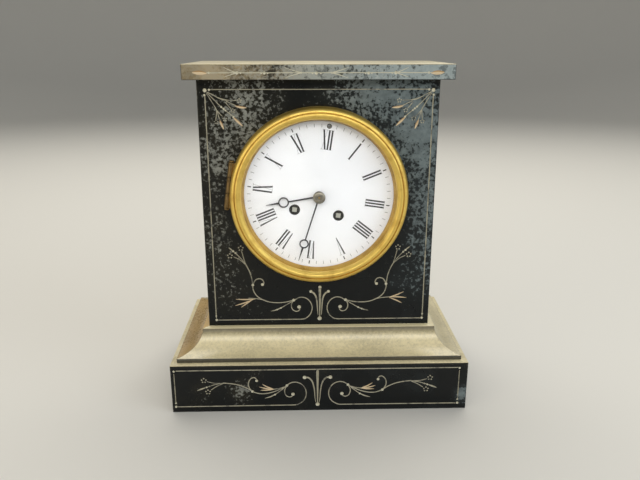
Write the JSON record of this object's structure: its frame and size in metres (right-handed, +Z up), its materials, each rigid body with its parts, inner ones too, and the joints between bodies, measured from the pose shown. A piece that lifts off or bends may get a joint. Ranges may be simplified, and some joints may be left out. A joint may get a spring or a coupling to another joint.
{
  "type": "slate mantel clock",
  "caption": "Slate mantel clock on a moulded plinth, with a round enamel dial behind a hinged gilt bezel, moon hands, a two-train movement, pendulum and bell.",
  "frame": {"origin": "centre of the plinth's underside, on the surface that the clock stands on", "axes": "+Z up, the dial faces -Y, +X to the right of someone who reads the dial"},
  "size_m": [0.229, 0.134, 0.261],
  "materials": {
    "slate": "polished black slate with a grey bloom",
    "gilt": "polished gilt brass",
    "brass": "lacquered brass",
    "bell_metal": "turned bell metal",
    "steel": "polished steel",
    "blued_steel": "blued steel",
    "enamel": "white enamel with black figures",
    "glass": "clear domed glass"
  },
  "bodies": {
    "case": {"plinth_front": "slate", "plinth_back": "slate", "plinth_left": "slate", "plinth_right": "slate", "base_slab": "slate", "moulding_front": "slate", "moulding_right": "slate", "moulding_back": "slate", "moulding_left": "slate", "front_panel": "slate", "back_panel": "slate", "left_panel": "slate", "right_panel": "slate", "top_slab": "slate", "bezel_seat": "gilt", "bezel_hinge_pin": "gilt", "dial": "enamel", "dial_pan": "brass", "front_plate": "brass", "back_plate": "brass", "bell": "bell_metal", "bell_stand": "steel", "pendulum_cock": "brass", "strap_left": "steel", "strap_right": "steel", "back_ring": "gilt"},
    "bezel_door": {"bezel_ring": "gilt", "bezel_glass": "glass", "sight_ring": "gilt"},
    "minute_hand_body": {"minute_hand": "blued_steel", "hand_collet": "brass", "cannon_pinion": "steel"},
    "hour_hand_body": {"hour_hand": "blued_steel", "hour_wheel": "brass"},
    "minute_wheel_body": {"minute_wheel": "brass"},
    "intermediate_body": {"intermediate_wheel": "brass"},
    "centre_body": {"centre_wheel": "brass"},
    "third_body": {"third_wheel": "brass"},
    "escape_body": {"escape_wheel": "brass"},
    "pallets_body": {"pallets": "steel"},
    "going_barrel_body": {"going_barrel": "brass", "going_barrel_cover": "brass", "going_mainspring": "steel"},
    "going_arbor_body": {"going_winding_arbor": "steel"},
    "going_click_body": {"going_click": "steel"},
    "strike_barrel_body": {"strike_barrel": "brass", "strike_barrel_cover": "brass", "strike_mainspring": "steel"},
    "strike_arbor_body": {"strike_winding_arbor": "steel"},
    "strike_click_body": {"strike_click": "steel"},
    "strike_second_body": {"strike_second_wheel": "brass"},
    "pin_wheel_body": {"pin_wheel": "brass"},
    "warning_body": {"warning_wheel": "brass"},
    "fly_body": {"fly": "brass"},
    "hammer_body": {"hammer": "steel"},
    "regulator_body": {"regulator_arbor": "steel"},
    "pendulum_body": {"suspension_spring": "steel", "pendulum_rod": "steel", "pendulum_bob": "brass"},
    "back_door_body": {"back_door": "gilt"}
  },
  "joints": [
    {"name": "bezel_hinge", "type": "hinge", "parent": "case", "child": "bezel_door", "pos_m": [-0.0658, -0.0465, 0.1756], "axis": [-0.1444, 0, -0.9895], "range_deg": [0, 110]},
    {"name": "minute_hand_turn", "type": "hinge", "parent": "case", "child": "minute_hand_body", "pos_m": [0, -0.0395, 0.166], "axis": [0, 1, 0], "continuous": true},
    {"name": "hour_hand_turn", "type": "hinge", "parent": "case", "child": "hour_hand_body", "pos_m": [0, -0.0395, 0.166], "axis": [0, 1, 0], "continuous": true},
    {"name": "minute_wheel_turn", "type": "hinge", "parent": "case", "child": "minute_wheel_body", "pos_m": [0.00144, -0.0395, 0.17589], "axis": [0, 1, 0], "continuous": true},
    {"name": "third_wheel_turn", "type": "hinge", "parent": "case", "child": "third_body", "pos_m": [0.00197, -0.0395, 0.17951], "axis": [0, 1, 0], "continuous": true},
    {"name": "escape_wheel_turn", "type": "hinge", "parent": "case", "child": "escape_body", "pos_m": [0.00361, -0.0395, 0.19073], "axis": [0, 1, 0], "continuous": true},
    {"name": "centre_wheel_turn", "type": "hinge", "parent": "case", "child": "centre_body", "pos_m": [0, -0.0395, 0.166], "axis": [0, 1, 0], "continuous": true},
    {"name": "intermediate_wheel_turn", "type": "hinge", "parent": "case", "child": "intermediate_body", "pos_m": [0.0146, -0.0395, 0.16845], "axis": [0, 1, 0], "continuous": true},
    {"name": "going_barrel_turn", "type": "hinge", "parent": "case", "child": "going_barrel_body", "pos_m": [0.01455, -0.0395, 0.15074], "axis": [0, 1, 0], "continuous": true},
    {"name": "going_winding_turn", "type": "hinge", "parent": "case", "child": "going_arbor_body", "pos_m": [0.01455, -0.0395, 0.15074], "axis": [0, 1, 0], "continuous": true},
    {"name": "going_click_lift", "type": "hinge", "parent": "case", "child": "going_click_body", "pos_m": [0.02334, -0.0395, 0.1438], "axis": [0, 1, 0], "range_deg": [0, 15]},
    {"name": "warning_wheel_turn", "type": "hinge", "parent": "case", "child": "warning_body", "pos_m": [-0.00858, -0.0395, 0.19076], "axis": [0, 1, 0], "continuous": true},
    {"name": "pin_wheel_turn", "type": "hinge", "parent": "case", "child": "pin_wheel_body", "pos_m": [-0.01743, -0.0395, 0.18631], "axis": [0, 1, 0], "continuous": true},
    {"name": "strike_second_turn", "type": "hinge", "parent": "case", "child": "strike_second_body", "pos_m": [-0.01329, -0.0395, 0.17252], "axis": [0, 1, 0], "continuous": true},
    {"name": "strike_barrel_turn", "type": "hinge", "parent": "case", "child": "strike_barrel_body", "pos_m": [-0.0183, -0.0395, 0.15553], "axis": [0, 1, 0], "continuous": true},
    {"name": "strike_winding_turn", "type": "hinge", "parent": "case", "child": "strike_arbor_body", "pos_m": [-0.0183, -0.0395, 0.15553], "axis": [0, 1, 0], "continuous": true},
    {"name": "strike_click_lift", "type": "hinge", "parent": "case", "child": "strike_click_body", "pos_m": [-0.02871, -0.0395, 0.15139], "axis": [0, -1, 0], "range_deg": [0, 15]},
    {"name": "fly_turn", "type": "hinge", "parent": "case", "child": "fly_body", "pos_m": [-0.00612, -0.0395, 0.1982], "axis": [0, 1, 0], "continuous": true},
    {"name": "hammer_strike", "type": "hinge", "parent": "case", "child": "hammer_body", "pos_m": [-0.03222, -0.0395, 0.17373], "axis": [0, -1, 0], "range_deg": [0, 12], "stiffness_Nm_per_rad": 0.01, "springref_deg": -11.46},
    {"name": "pendulum_swing", "type": "hinge", "parent": "case", "child": "pendulum_body", "pos_m": [0.00512, -0.0395, 0.20112], "axis": [0, 1, 0], "range_deg": [-5, 5]},
    {"name": "pallets_rock", "type": "hinge", "parent": "case", "child": "pallets_body", "pos_m": [0.00512, -0.0395, 0.20112], "axis": [0, 1, 0], "range_deg": [-5, 5]},
    {"name": "regulator_turn", "type": "hinge", "parent": "case", "child": "regulator_body", "pos_m": [0.00751, -0.0395, 0.21746], "axis": [0, 1, 0], "continuous": true},
    {"name": "back_door_hinge", "type": "hinge", "parent": "case", "child": "back_door_body", "pos_m": [0.04552, 0.0447, 0.15936], "axis": [-0.1444, 0, -0.9895], "range_deg": [0, 110]}
  ],
  "couplings": [
    {"joint": "minute_wheel_turn", "follows": "minute_hand_turn", "ratio": -0.33333},
    {"joint": "hour_hand_turn", "follows": "minute_hand_turn", "ratio": 0.083333},
    {"joint": "escape_wheel_turn", "follows": "third_wheel_turn", "ratio": -12.5},
    {"joint": "centre_wheel_turn", "follows": "third_wheel_turn", "ratio": -0.083333},
    {"joint": "intermediate_wheel_turn", "follows": "third_wheel_turn", "ratio": 0.013021},
    {"joint": "going_barrel_turn", "follows": "third_wheel_turn", "ratio": -0.0019531},
    {"joint": "pin_wheel_turn", "follows": "warning_wheel_turn", "ratio": -0.1},
    {"joint": "strike_second_turn", "follows": "warning_wheel_turn", "ratio": 0.011111},
    {"joint": "strike_barrel_turn", "follows": "warning_wheel_turn", "ratio": -0.0016667},
    {"joint": "fly_turn", "follows": "warning_wheel_turn", "ratio": -8.3333},
    {"joint": "pallets_rock", "follows": "pendulum_swing", "ratio": 1}
  ]
}
